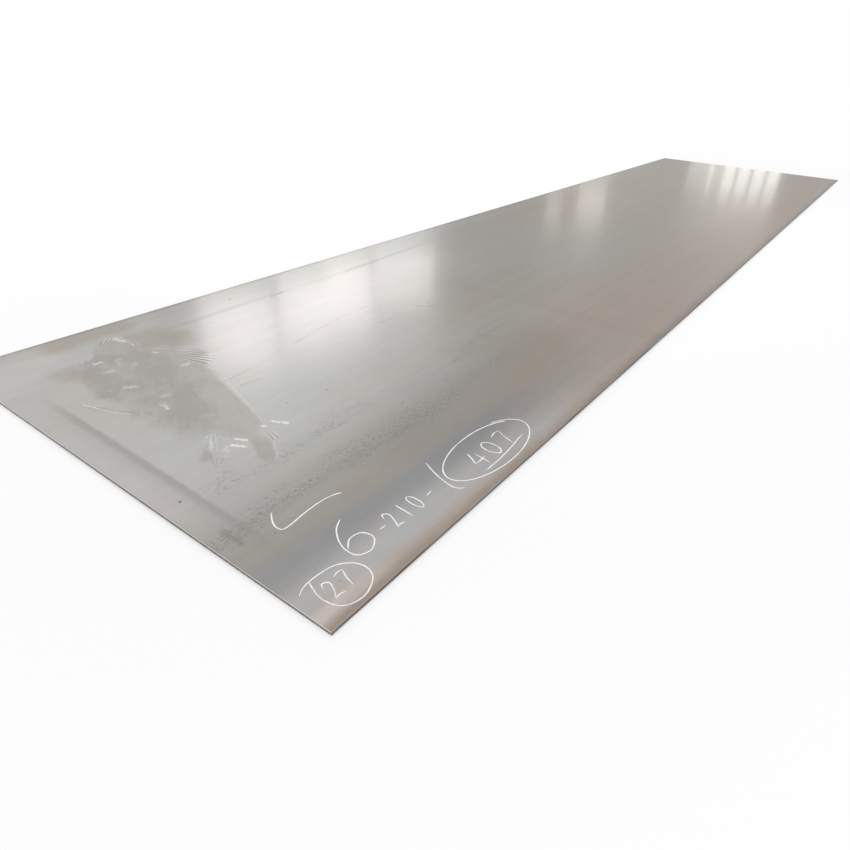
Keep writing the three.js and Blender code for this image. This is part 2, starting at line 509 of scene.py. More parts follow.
# Shades that are multiplied into the scale's colour.
TAIL_SHADE = (1.04, 0.99, 0.91)
TAIL_LEFT_SHADE = (1.012, 0.985, 0.95)
WARM_SHADE = (1.06, 0.98, 0.95)
COOL_SHADE = (0.93, 0.98, 0.94)
PINK_SHADE = (1.015, 0.975, 0.965)
OLIVE_SHADE = (0.975, 0.982, 0.965)
STAIN_SHADE = (0.81, 0.78, 0.70)
CROSS_BAND_SHADE = (0.965, 0.965, 0.965)

# Bands across the plate, by distance from its right edge: at the leading end, and further along.
NEAR_BANDS = (
    (0.0, DULL_TAN), (0.022, PINK_TAN), (0.055, EDGE_GREY), (0.078, EDGE_GREY), (0.118, PALE_BLUE),
    (0.15, BLUE_GREY), (0.178, BLUE_GREY), (0.215, OLIVE_DARK), (0.32, COOL_DARK), (0.42, COOL_GREY),
    (0.52, PALE_GREY), (0.9, PALE_GREY), (1.15, WARM_PALE), (1.48, COOL_GREY),
)
FAR_BANDS = (
    (0.0, DULL_TAN), (0.03, PINK_TAN), (0.12, TAN_GREY), (0.32, TAN_GREY), (0.48, OLIVE_GREY),
    (0.75, OLIVE_GREY), (1.05, WARM_GREY), (1.35, SAND_GREY), (1.48, COOL_GREY),
)

SCALE_METALLIC = 0.75
RUBBED_METALLIC = 0.6
SCALE_ROUGHNESS = (0.277, 0.292)  # from the mottle's dark places to its pale ones
RUBBED_ROUGHNESS = 0.5
SCALE_COAT = (0.33, 0.28)
COAT_ROUGHNESS = 0.12
PIT_SPACING = (0.0068, 0.0050, 0.01)
PIT_DEPTH = 0.0002
EDGE_METALLIC = 0.5
EDGE_ROUGHNESS = 0.5
SHEARED_METALLIC = 0.6
SHEARED_ROUGHNESS = (0.6, 0.42)


def new_group(name, inputs, output):
    """An empty node group: its tree, what its input node gives, and its one output, a number.

    inputs are names with values. A triple makes a vector input, and a number makes a float one.
    """
    tree = bpy.data.node_groups.new(name, "ShaderNodeTree")
    for label, value in inputs.items():
        kind = "NodeSocketVector" if isinstance(value, tuple) else "NodeSocketFloat"
        made = tree.interface.new_socket(name=label, in_out="INPUT", socket_type=kind)
        made.default_value = value
    tree.interface.new_socket(name=output, in_out="OUTPUT", socket_type="NodeSocketFloat")
    given = tree.nodes.new("NodeGroupInput").outputs
    return tree, given, tree.nodes.new("NodeGroupOutput").inputs[0]


def use(tree, group, **inputs):
    """The output of a node group placed in a tree. half_width=1 sets its input Half Width."""
    named = {key.replace("_", " ").title(): value for key, value in inputs.items()}
    return node(tree, "Group", named, node_tree=group).outputs[0]


def vector(tree, operation, first, second=(0, 0, 0), output="Vector"):
    """The result of a Vector Math node."""
    return node(tree, "VectorMath", {0: first, 1: second}, operation=operation).outputs[output]


def times(tree, first, second):
    """Two values multiplied."""
    return maths(tree, "MULTIPLY", first, second)


def strongest(tree, first, *others):
    """The largest of several values."""
    for other in others:
        first = maths(tree, "MAXIMUM", first, other)
    return first


def pushed(tree, value, by, cloud):
    """The value plus by times a cloudy noise."""
    return maths(tree, "MULTIPLY_ADD", cloud, by, value)


def swayed(tree, value, by, cloud):
    """The value plus by times what a cloudy noise lies over 0.5."""
    return pushed(tree, value, by, maths(tree, "SUBTRACT", cloud, 0.5))


def noise(tree, place, scale=1.0, detail=2.0, roughness=0.5, distortion=0.0):
    """Cloudy noise, mostly between 0.3 and 0.7."""
    inputs = {"Vector": place, "Scale": scale, "Detail": detail, "Roughness": roughness}
    inputs["Distortion"] = distortion
    return node(tree, "TexNoise", inputs).outputs["Fac"]


def spread(tree, cloud, low, high):
    """A cloudy noise spread out, from low in its dark places to high in its bright ones."""
    return eased(tree, cloud, 0.3, 0.7, low, high)


def three_noises(tree, place, scale):
    """Three cloudy noises that have nothing to do with one another."""
    cloudy = node(tree, "TexNoise", {"Vector": place, "Scale": scale, "Detail": 3.0})
    return node(tree, "SeparateColor", {0: cloudy.outputs["Color"]}).outputs


def stretched(tree, place, length, width, shift=0.0):
    """The place over length along the plate and over width across it, moved by shift."""
    drawn = vector(tree, "MULTIPLY", place, (1 / length, 1 / width, 1 / width))
    return vector(tree, "ADD", drawn, (shift, shift, shift))


def rgba(colour):
    """A colour with full alpha. A socket that gives a colour stays as it is."""
    return (*colour, 1.0) if isinstance(colour, tuple) else colour


def tint(tree, factor, first, second, blend_type="MIX"):
    """Two colours mixed: the first where factor is 0, the second where it is 1."""
    inputs = {0: factor, 6: rgba(first), 7: rgba(second)}
    return node(tree, "Mix", inputs, data_type="RGBA", blend_type=blend_type).outputs[2]


def tint_value(tree, factor, first, second):
    """Two numbers mixed: the first where factor is 0, the second where it is 1."""
    return node(tree, "Mix", {0: factor, 2: first, 3: second}, data_type="FLOAT").outputs[0]


def shaded(tree, factor, colour, shade):
    """A colour with a shade multiplied in, as far as factor says."""
    return tint(tree, factor, colour, shade, "MULTIPLY")


def grey(tree, value):
    """The grey colour whose three channels are a value."""
    return node(tree, "CombineColor", {0: value, 1: value, 2: value}).outputs[0]


def pits_group():
    """Ragged pits: one in each Voronoi cell, of a random share of Size and of a random depth.

    The place is divided by Spacing and pushed about by noise. Only the share of the cells that
    Presence gives has a pit.
    """
    inputs = {"Vector": (0, 0, 0), "Spacing": (0.02, 0.02, 0.02), "Size": 0.3, "Presence": 0.5}
    tree, given, result = new_group("rolled_in_pits", inputs, "Mask")
    place = vector(tree, "DIVIDE", given["Vector"], given["Spacing"])
    ragged = node(tree, "TexNoise", {"Vector": place, "Scale": 2.5, "Detail": 2.0}).outputs["Color"]
    place = vector(tree, "ADD", place, vector(tree, "MULTIPLY", ragged, (0.6, 0.6, 0.0)))
    cell = node(tree, "TexVoronoi", {"Vector": place, "Scale": 1.0}, voronoi_dimensions="2D")
    chance = node(tree, "SeparateColor", {0: cell.outputs["Color"]}).outputs
    radius = times(tree, given["Size"], eased(tree, chance[1], 0.0, 1.0, 0.3, 1.0))
    pit = eased(tree, maths(tree, "DIVIDE", cell.outputs["Distance"], radius), 1.0, 0.3)
    pit = times(tree, pit, eased(tree, chance[2], 0.0, 1.0, 0.3, 1.0))
    there = maths(tree, "LESS_THAN", chance[0], given["Presence"])
    tree.links.new(times(tree, pit, there), result)
    return tree


def stroke_group():
    """Distance to a straight stroke from Start on by Reach, less its Half Width: below 0 inside it.

    The nearest place on the stroke is Start plus a share of Reach from 0 to 1.
    """
    inputs = {"Vector": (0, 0, 0), "Start": (0, 0, 0), "Reach": (1, 0, 0), "Half Width": 0.01}
    tree, given, result = new_group("stroke", inputs, "Distance")
    place = vector(tree, "SUBTRACT", given["Vector"], given["Start"])
    shadow = vector(tree, "DOT_PRODUCT", place, given["Reach"], "Value")
    whole = vector(tree, "DOT_PRODUCT", given["Reach"], given["Reach"], "Value")
    share = node(tree, "Clamp", {"Value": maths(tree, "DIVIDE", shadow, whole)}).outputs[0]
    on_stroke = node(tree, "VectorMath", {0: given["Reach"], "Scale": share}, operation="SCALE").outputs[0]
    apart = vector(tree, "DISTANCE", place, on_stroke, "Value")
    tree.links.new(maths(tree, "SUBTRACT", apart, given["Half Width"]), result)
    return tree


def comb_group():
    """Fine lines side by side round a stretch from Start on by Reach: from -1, dark, to 1, bright.

    They are a sine wave of the distance across the stretch, and fan out from half of Spacing apart
    at its start to one and a half of it at its end. Half way along they lie off to one side by Bow.
    They fade towards the stretch's ends and at Half Width from it.
    """
    inputs = {"Vector": (0, 0, 0), "Start": (0, 0, 0), "Reach": (1, 0, 0)}
    inputs |= {"Half Width": 0.01, "Spacing": 0.01, "Bow": 0.0}
    tree, given, result = new_group("combed_lines", inputs, "Lines")
    place = vector(tree, "SUBTRACT", given["Vector"], given["Start"])
    ahead = vector(tree, "NORMALIZE", given["Reach"])
    aside = vector(tree, "CROSS_PRODUCT", ahead, (0, 0, 1))
    travel = vector(tree, "DOT_PRODUCT", place, ahead, "Value")
    share = maths(tree, "DIVIDE", travel, vector(tree, "LENGTH", given["Reach"], output="Value"))
    from_middle = maths(tree, "MULTIPLY_ADD", share, 2.0, -1.0)
    squared = times(tree, from_middle, from_middle)
    bowed = times(tree, given["Bow"], maths(tree, "SUBTRACT", 1.0, squared))
    across = maths(tree, "SUBTRACT", vector(tree, "DOT_PRODUCT", place, aside, "Value"), bowed)
    spacing = times(tree, given["Spacing"], maths(tree, "ADD", share, 0.5))
    wave = maths(tree, "SINE", maths(tree, "DIVIDE", times(tree, across, 2 * np.pi), spacing))
    beyond = maths(tree, "DIVIDE", maths(tree, "ABSOLUTE", across), given["Half Width"])
    window = times(tree, eased(tree, squared, 1.0, 0.5), eased(tree, beyond, 1.0, 0.6))
    tree.links.new(times(tree, wave, window), result)
    return tree


def line_group():
    """A soft line where Coordinate is near Centre: full inside Half Width, gone after Softness more."""
    inputs = {"Coordinate": 0.0, "Centre": 0.0, "Half Width": 0.01, "Softness": 0.01}
    tree, given, result = new_group("soft_line", inputs, "Mask")
    apart = maths(tree, "ABSOLUTE", maths(tree, "SUBTRACT", given["Coordinate"], given["Centre"]))
    beyond = maths(tree, "DIVIDE", maths(tree, "SUBTRACT", apart, given["Half Width"]), given["Softness"])
    tree.links.new(eased(tree, beyond, 1.0, 0.0), result)
    return tree


pits = pits_group()
stroke = stroke_group()
combed_lines = comb_group()
soft_line = line_group()

# Strokes are laid out as (start, end, half width), in metres from the plate's near right corner. A
# half width below 0 makes a faint one. The patch has broad soft strokes and narrower crisp ones, and
# is darkest in its core.
WIPED_ALONG = radians(58)  # the way the patch was wiped
RUBBED_STROKES = (
    ((0.36, 1.30), (0.285, 1.15), 0.065),
    ((0.40, 1.15), (0.35, 0.93), 0.082),
    ((0.245, 1.23), (0.225, 1.05), 0.050),
    ((0.26, 1.05), (0.245, 0.90), 0.065),
    ((0.33, 0.95), (0.275, 0.74), 0.070),
    ((0.225, 0.80), (0.230, 0.70), 0.030),
    ((0.200, 0.61), (0.182, 0.59), 0.012),
    ((0.44, 1.14), (0.455, 1.03), 0.040),
    ((0.46, 1.12), (0.50, 1.08), 0.028),
)
CRISP_STROKES = (
    ((0.384, 0.885), (0.318, 0.640), 0.055),
    ((0.312, 0.600), (0.300, 0.550), 0.017),
    ((0.304, 0.540), (0.277, 0.490), 0.022),
    ((0.430, 1.040), (0.440, 0.965), 0.025),
)
RUBBED_CORE = (
    ((0.40, 1.20), (0.35, 1.03), 0.020),
    ((0.35, 1.03), (0.285, 0.80), 0.025),
    ((0.262, 0.927), (0.284, 0.905), 0.010),
    ((0.173, 1.062), (0.191, 1.030), 0.004),
    ((0.245, 1.20), (0.230, 1.10), 0.005),
    ((0.262, 0.768), (0.255, 0.732), 0.004),
    ((0.283, 0.520), (0.272, 0.480), 0.006),
    ((0.285, 1.275), (0.315, 1.235), 0.015),
    ((0.235, 1.080), (0.265, 1.030), 0.010),
)
# Pale clouds in and round the patch, short bright flecks and long hair-thin scratches.
# The clouds and flecks are partly painted highlights, on top of pale residue and scratch marks.
CLOUDS = (
    ((0.400, 1.366), (0.412, 1.335), 0.008),
    ((0.267, 1.165), (0.281, 1.157), 0.007),
    ((0.326, 1.216), (0.316, 1.191), 0.004),
    ((0.346, 1.162), (0.342, 1.156), 0.004),
    ((0.272, 1.241), (0.286, 1.239), 0.006),
    ((0.250, 1.039), (0.264, 1.031), 0.006),
    ((0.238, 0.655), (0.212, 0.610), 0.004),
    ((0.241, 0.592), (0.215, 0.558), 0.000),
    ((0.262, 0.888), (0.256, 0.856), 0.004),
    ((0.281, 0.922), (0.290, 0.918), 0.003),
    ((0.430, 1.046), (0.446, 1.040), 0.005),
)
FLECKS = (
    ((0.252, 0.583), (0.266, 0.557), 0.004),
    ((0.274, 0.599), (0.287, 0.574), 0.003),
    ((0.386, 0.596), (0.404, 0.560), 0.0035),
    ((0.352, 0.600), (0.358, 0.590), 0.002),
    ((0.268, 1.240), (0.288, 1.240), 0.002),
    ((0.246, 1.040), (0.268, 1.029), 0.001),
    ((0.428, 1.043), (0.448, 1.044), 0.001),
    ((0.422, 1.192), (0.433, 1.174), 0.001),
    ((0.258, 0.870), (0.254, 0.853), 0.001),
    ((0.399, 1.370), (0.412, 1.323), 0.002),
    ((0.419, 1.318), (0.411, 1.272), 0.000),
    ((0.128, 1.034), (0.142, 0.996), 0.000),
)
HAIRS = (
    ((0.457, 0.882), (0.427, 0.797), 0.0004),
    ((0.427, 0.797), (0.404, 0.714), 0.0004),
    ((0.404, 0.714), (0.360, 0.594), 0.0003),
    ((0.446, 0.852), (0.413, 0.745), 0.0002),
    ((0.324, 0.520), (0.286, 0.462), 0.0007),
    ((0.418, 0.898), (0.457, 0.881), 0.0004),
)
# Fine lines side by side, as (start, end, half width, spacing, bow, strength).
COMBS = (
    ((0.425, 1.215), (0.528, 1.085), 0.018, 0.015, -0.006, 0.8),
    ((0.455, 1.120), (0.515, 1.000), 0.042, 0.013, -0.004, 1.3),
    ((0.125, 1.065), (0.195, 0.880), 0.014, 0.015, 0.010, 0.75),
    ((0.348, 0.592), (0.337, 0.520), 0.013, 0.009, -0.004, 1.0),
    ((0.258, 0.671), (0.200, 0.589), 0.018, 0.013, 0.0, 0.7),
    ((0.322, 1.312), (0.400, 1.392), 0.018, 0.009, 0.0, 1.0),
)
# Brown stains round the patch.
STAINS = (
    ((0.425, 1.305), (0.515, 1.225), 0.040),
    ((0.43, 1.34), (0.50, 1.31), 0.020),
    ((0.27, 1.455), (0.44, 1.455), 0.045),
    ((0.165, 1.250), (0.205, 1.215), 0.004),
)
# Short nicks that hold dirt.
NICKS = (
    ((0.855, 1.385), (0.868, 1.398), 0.0015),
    ((0.588, 0.608), (0.596, 0.615), 0.0000),
    ((0.468, 0.639), (0.474, 0.642), -0.0005),
    ((0.666, 0.400), (0.678, 0.403), -0.0003),
    ((0.853, 0.387), (0.866, 0.393), -0.0003),
    ((0.807, 0.863), (0.813, 0.865), -0.0005),
    ((0.988, 0.599), (0.997, 0.603), -0.0005),
    ((1.275, 0.828), (1.290, 0.818), 0.0015),
    ((1.300, 0.795), (1.320, 0.780), 0.0005),
    ((0.205, 1.397), (0.214, 1.400), -0.0005),
    ((0.985, 1.304), (1.050, 1.312), 0.0035),
    ((1.400, 1.311), (1.530, 1.315), 0.0020),
)
# A seam that was rolled in, and the bands of pits.
SEAM = (
    ((0.560, 1.318), (1.300, 1.315), 0.008),
    ((1.300, 1.315), (2.050, 1.332), 0.006),
)
PITTED = (
    ((0.355, 0.460), (0.470, 0.465), 0.010),
    ((0.470, 0.470), (0.500, 0.490), 0.004),
    ((0.500, 0.490), (0.600, 0.472), 0.002),
    ((0.105, 0.455), (0.330, 0.455), -0.004),
    ((0.120, 0.470), (0.180, 0.500), 0.004),
    ((0.010, 0.325), (0.380, 0.332), 0.014),
    ((0.380, 0.332), (0.700, 0.325), 0.026),
    ((0.700, 0.325), (0.820, 0.330), 0.006),
    ((0.830, 0.345), (1.140, 0.350), -0.002),
    ((1.000, 0.450), (1.110, 0.468), 0.002),
    ((1.200, 0.478), (1.290, 0.490), 0.000),
)
# The long bent scratch, and a few short dark ones.
TRAIL = (
    ((0.455, 0.870), (0.520, 0.875), 0.0020),
    ((0.520, 0.875), (0.680, 0.903), 0.0016),
    ((0.760, 0.920), (0.920, 0.950), 0.0022),
    ((0.920, 0.950), (1.160, 0.968), 0.0016),
    ((1.190, 0.940), (1.330, 0.765), 0.0010),
    ((0.455, 0.812), (0.525, 0.806), 0.0020),
    ((1.060, 0.825), (1.200, 0.816), 0.0020),
    ((1.320, 0.815), (1.420, 0.845), 0.0010),
    ((0.198, 0.597), (0.181, 0.567), 0.0010),
    ((0.181, 0.567), (0.172, 0.539), 0.0010),
    ((0.172, 0.539), (0.198, 0.568), 0.0010),
    ((0.187, 0.545), (0.203, 0.555), 0.0010),
)
# Dark specks and smears near the right edge.
SPECKS = (
    ((0.047, 0.491), (0.049, 0.493), 0.0025),
    ((0.102, 0.359), (0.103, 0.361), 0.0004),
)
SMEARS = (
    ((0.020, 0.022), (0.100, 0.034), 0.004),
    ((0.045, 0.345), (0.047, 0.292), 0.006),
)
# Broad parts of another shade. SHADED_PARTS has them as (strokes, distance of fading, cover, shade).
# DARKER_REFLECTION is painted shade: a stretch where the sheen is darker, painted into the scale's colour.
DARKER_REFLECTION = (((0.65, 0.25), (1.25, 0.33), 0.05),)
BROWNED = (
    ((1.08, 0.24), (1.28, 0.30), 0.03),
    ((0.57, 0.98), (0.60, 1.24), -0.06),
    ((0.08, 1.00), (0.20, 1.22), -0.04),
)
BLUSHED = (
    ((1.15, 0.90), (1.45, 1.05), 0.10),
    ((0.78, 1.41), (1.42, 1.40), -0.10),
)
FADED = (((0.00, 1.30), (0.17, 1.39), 0.03),)
SHADED_PARTS = (
    (DARKER_REFLECTION, 0.25, 0.9, (0.87, 0.87, 0.88)),
    (BROWNED, 0.13, 1.0, (1.02, 0.99, 0.935)),
    (BLUSHED, 0.28, 1.0, (0.982, 0.962, 0.995)),
    (FADED, 0.10, 1.0, (1.10, 1.09, 1.08)),
)


def new_finish(name):
    """A material, its node tree, its shader, and the place from the plate's near right corner."""
    material = bpy.data.materials.new(name)
    material.use_nodes = True
    tree = material.node_tree
    shader = tree.nodes["Principled BSDF"]
    here = node(tree, "TexCoord").outputs["Object"]
    corner = (LENGTH / 2, WIDTH / 2, 0)
    place = node(tree, "Mapping", {"Vector": here, "Location": corner}).outputs[0]
    return material, tree, shader, place


def axes(tree, place):
    """A place taken apart: the distances along the plate, across it and up."""
    return node(tree, "SeparateXYZ", {0: place}).outputs


def band_colours(tree, across, bands):
    """A colour ramp over the plate's width, with a stop for each band."""
    ramp = node(tree, "ValToRGB", {0: maths(tree, "DIVIDE", across, WIDTH)})
    stops = ramp.color_ramp.elements
    while len(stops) < len(bands):
        stops.new(0.5)
    for stop, (distance, colour) in zip(stops, bands):
        stop.position = distance / WIDTH
        stop.color = rgba(colour)
    return ramp.outputs[0]


def reach_of(begin, end):
    """The way from one place on the plate to another, as a vector."""
    return (end[0] - begin[0], end[1] - begin[1], 0)


def nearest_stroke(tree, place, strokes, blend):
    """Distance to the nearest of several strokes, rounded by blend where two are as near."""
    total = None
    for begin, end, half_width in strokes:
        reach = reach_of(begin, end)
        made = use(tree, stroke, vector=place, start=(*begin, 0), reach=reach, half_width=half_width)
        total = made if total is None else maths(tree, "SMOOTH_MIN", total, made, blend)
    return total


def marks(tree, place, strokes, gone, full, cover=1.0, blend=0.0, fray=None, by=0.0):
    """How strongly strokes mark the face: from nothing at distance gone to cover at distance full.

    fray is a noise that pushes the marks' borders in, by as much as its value times by.
    """
    apart = nearest_stroke(tree, place, strokes, blend)
    if fray is not None:
        apart = pushed(tree, apart, by, fray)
    return eased(tree, apart, gone, full, 0.0, cover)


def scale_colour(tree, place):
    """The scale's colour, and the noise of its mottle.

    The bands of the leading end give way to those of the rest. Slow warm and cool clouds, streaks
    along the plate, the mottle and a fine dapple are laid over them.
    """
    along, across, _ = axes(tree, place)
    in_bands = swayed(tree, across, 0.12, noise(tree, stretched(tree, place, 1.4, 0.35, 3.0)))
    in_bands = strongest(tree, in_bands, times(tree, across, 0.6))
    near_colours = band_colours(tree, in_bands, NEAR_BANDS)
    far_colours = band_colours(tree, in_bands, FAR_BANDS)
    clouds = three_noises(tree, place, 1.5)
    later = maths(tree, "SUBTRACT", along, eased(tree, across, 0.7, 1.05, 0.0, 0.45))
    far = eased(tree, pushed(tree, later, 0.8, clouds[0]), 0.8, 2.1)
    colour = tint(tree, far, near_colours, far_colours)

    tail_end = eased(tree, along, 2.2, 3.6)
    tail_left = times(tree, tail_end, eased(tree, across, 0.75, 1.0))
    blotches = three_noises(tree, stretched(tree, place, 0.5, 0.2, 7.0), 1.0)
    for cover, shade in (
        (tail_end, TAIL_SHADE),
        (tail_left, TAIL_LEFT_SHADE),
        (eased(tree, clouds[1], 0.42, 0.62, 0.0, 0.5), WARM_SHADE),
        (eased(tree, clouds[2], 0.42, 0.62, 0.0, 0.5), COOL_SHADE),
        (eased(tree, blotches[0], 0.48, 0.66), PINK_SHADE),
        (eased(tree, blotches[1], 0.48, 0.66), OLIVE_SHADE),
    ):
        colour = shaded(tree, cover, colour, shade)

    streak = noise(tree, stretched(tree, place, 1.1, 0.03, 11.0), 1.0, 3.0, 0.5)
    mottle = noise(tree, stretched(tree, place, 0.6, 0.10))
    dapple = noise(tree, stretched(tree, place, 0.05, 0.028, 2.0), 1.0, 3.0, 0.6)
    value = spread(tree, streak, 0.962, 1.0)
    value = maths(tree, "ADD", value, spread(tree, mottle, -0.02, 0.02))
    value = maths(tree, "ADD", value, spread(tree, dapple, -0.016, 0.016))
    return shaded(tree, 1.0, colour, grey(tree, value)), mottle


def rolled_pits(tree, place, seam):
    """Pits scattered thinly over the face, and closely near the seam and the strokes of PITTED.

    Given are the dark haze of the finest ones, the pits, and painted glints between them.
    """
    drift = noise(tree, stretched(tree, place, 0.12, 0.04, 5.0), 1.0, 4.0, 0.65)
    near = swayed(tree, nearest_stroke(tree, place, PITTED, 0.01), 0.15, drift)
    close = eased(tree, near, 0.024, -0.020, 0.0, 0.75)
    bands = strongest(tree, close, eased(tree, seam, 0.026, 0.01, 0.0, 0.3))
    presence = maths(tree, "ADD", bands, 0.0008)
    sunk = use(tree, pits, vector=place, spacing=PIT_SPACING, size=0.55, presence=presence)
    # Painted glints: bright specks beside the pits stand for the highlights on their rims.
    aside = vector(tree, "ADD", place, (0.0037, 0.0062, 0))
    glinting = use(tree, pits, vector=aside, spacing=PIT_SPACING, size=0.4, presence=bands)
    grain = noise(tree, stretched(tree, place, 0.016, 0.009, 9.0), 1.0, 3.0, 0.6)
    haze = times(tree, eased(tree, near, 0.045, -0.01), eased(tree, grain, 0.38, 0.62, 0.01, 0.13))
    return haze, sunk, glinting


def combed(tree, place):
    """All the fine lines of COMBS, from -1, dark, to 1, bright."""
    total = 0.0
    for begin, end, half_width, spacing, bow, strength in COMBS:
        lines = use(tree, combed_lines, vector=place, start=(*begin, 0), reach=reach_of(begin, end),
                    half_width=half_width, spacing=spacing, bow=bow)
        total = maths(tree, "MULTIPLY_ADD", lines, strength, total)
    return total


def rubbed_patch(tree, place, colour):
    """Where the patch is, and the colour with it: stains, the wiped patch, combed lines, scratch
    lines, and pale clouds and flecks that are partly painted highlights.
    """
    fray = noise(tree, place, 130.0, 3.0, 0.6)
    lumps = three_noises(tree, place, 9.0)
    turned = node(tree, "Mapping", {"Vector": place, "Rotation": (0, 0, -WIPED_ALONG)}).outputs[0]
    wipes = noise(tree, stretched(tree, turned, 0.13, 0.035), 1.0, 4.0, 0.6, 0.7)
    dabs = noise(tree, place, 42.0, 3.0, 0.65, 0.6)

    stain = marks(tree, place, STAINS, 0.13, 0.04, blend=0.02, fray=lumps[0], by=0.12)
    colour = shaded(tree, stain, colour, STAIN_SHADE)

    edge = swayed(tree, nearest_stroke(tree, place, RUBBED_STROKES, 0.03), 0.06, lumps[0])
    edge = swayed(tree, edge, 0.05, wipes)
    softness = eased(tree, lumps[1], 0.42, 0.60, 0.008, 0.030)
    patch = eased(tree, maths(tree, "DIVIDE", edge, softness), 1.0, -1.0)
    crisp = marks(tree, place, CRISP_STROKES, 0.014, 0.004, 0.85, blend=0.01, fray=fray, by=0.02)
    patch = strongest(tree, patch, crisp)

    # The rubbed steel's own lighter and darker smoke, darkest in the core.
    core = marks(tree, place, RUBBED_CORE, 0.05, 0.0, 0.15, blend=0.01)
    smoke = pushed(tree, times(tree, lumps[2], 0.3), 0.4, wipes)
    smoke = pushed(tree, smoke, 0.3, dabs)
    smoke = maths(tree, "SUBTRACT", maths(tree, "ADD", smoke, 0.03), core)
    rubbed = tint(tree, eased(tree, smoke, 0.34, 0.60), RUBBED_DARK, RUBBED)
    colour = tint(tree, times(tree, patch, 0.8), colour, rubbed)

    # Partly painted highlights: the pale clouds here and the bright flecks below stand for glints on a
    # glossy residue as well as pale scratch marks.
    cloud = marks(tree, place, CLOUDS, 0.042, 0.024, 0.26, blend=0.005, fray=dabs, by=0.06)
    colour = tint(tree, cloud, colour, SCRATCHED_AND_GLINT)
    lines = times(tree, combed(tree, place), eased(tree, fray, 0.3, 0.5, 0.4, 1.0))
    colour = tint(tree, eased(tree, lines, 0.4, 0.9, 0.0, 0.4), colour, SCRATCHED_AND_GLINT)
    colour = tint(tree, eased(tree, lines, -0.3, -0.9, 0.0, 0.35), colour, SOOT_AND_SHADE)
    flecks = marks(tree, place, FLECKS, 0.0125, 0.0065, fray=fray, by=0.018)
    hairs = marks(tree, place, HAIRS, 0.0066, 0.0036, 0.42, fray=fray, by=0.010)
    flecks_and_hairs = times(tree, strongest(tree, flecks, hairs), 0.75)
    return patch, tint(tree, flecks_and_hairs, colour, SCRATCHED_AND_GLINT)


def soiling(tree, place, dirt):
    """How dirty the face is: grime along both long edges, smears, dark specks, and nicks full of dirt."""
    across = axes(tree, place)[1]
    return strongest(
        tree,
        eased(tree, pushed(tree, across, 0.05, dirt), 0.055, 0.030, 0.0, 0.22),
        eased(tree, pushed(tree, across, 0.03, dirt), WIDTH - 0.012, WIDTH + 0.012, 0.0, 0.4),
        marks(tree, place, SMEARS, 0.018, 0.004, 0.3, fray=dirt, by=0.02),
        marks(tree, place, SPECKS, 0.0015, -0.0005, 0.7),
        marks(tree, place, NICKS, 0.0075, 0.0025, 0.4, fray=dirt, by=0.006),
    )


def paler_and_darker_parts(tree, place, dirt, colour):
    """The colour with a pale corner, the arris of the leading end, bare from wear and with a painted
    highlight, and SHADED_PARTS, of which DARKER_REFLECTION is painted shade.
    """
    along, across, _ = axes(tree, place)
    corner = use(tree, soft_line, coordinate=across, centre=0.036, half_width=0.004, softness=0.024)
    corner = times(tree, corner, eased(tree, along, 0.24, 0.03, 0.0, 0.6))
    colour = tint(tree, corner, colour, PALE_CORNER)
    # The leading end's arris: bare from wear, and painted brighter still as a highlight.
    arris = eased(tree, pushed(tree, along, 0.0008, dirt), 0.0018, 0.0012, 0.0, 0.9)
    colour = tint(tree, arris, colour, WORN_AND_HIGHLIGHT)
    for strokes, fade, cover, shade in SHADED_PARTS:
        part = marks(tree, place, strokes, fade, 0.0, cover, blend=0.1)
        colour = shaded(tree, part, colour, shade)
    return colour


def creases(tree, place, dirt, colour):
    """The colour with the painted shade of a fold near the leading end, a duller band further on,
    and a long bent scratch.

    The painted shade darkens slowly, then at once, and ends sharply. It and the band stop short
    of the plate's left edge.
    """
    along, across, _ = axes(tree, place)
    bent = swayed(tree, along, 0.012, dirt)
    # Painted shade: the fold near the leading end is darkened as if shade fell on its slope. The mesh is
    # flat there.
    crease_shade = maths(tree, "ADD", eased(tree, bent, 0.02, 0.075, 0.0, 0.11),
                   eased(tree, bent, 0.058, 0.078, 0.0, 0.19))
    crease_shade = times(tree, crease_shade, eased(tree, bent, 0.093, 0.082))
    reach = times(tree, eased(tree, across, 0.15, 0.55), eased(tree, across, 1.2, 0.95))
    colour = tint(tree, times(tree, crease_shade, reach), colour, SOOT_AND_SHADE)
    band = use(tree, soft_line, coordinate=bent, centre=1.60, half_width=0.01, softness=0.06)
    band = times(tree, band, eased(tree, across, 1.0, 0.8))
    colour = shaded(tree, band, colour, CROSS_BAND_SHADE)
    trail = marks(tree, place, TRAIL, 0.008, 0.003, fray=dirt, by=0.008)
    trail = times(tree, trail, eased(tree, dirt, 0.6, 0.4, 0.1, 0.22))
    return tint(tree, trail, colour, SOOT_AND_SHADE)


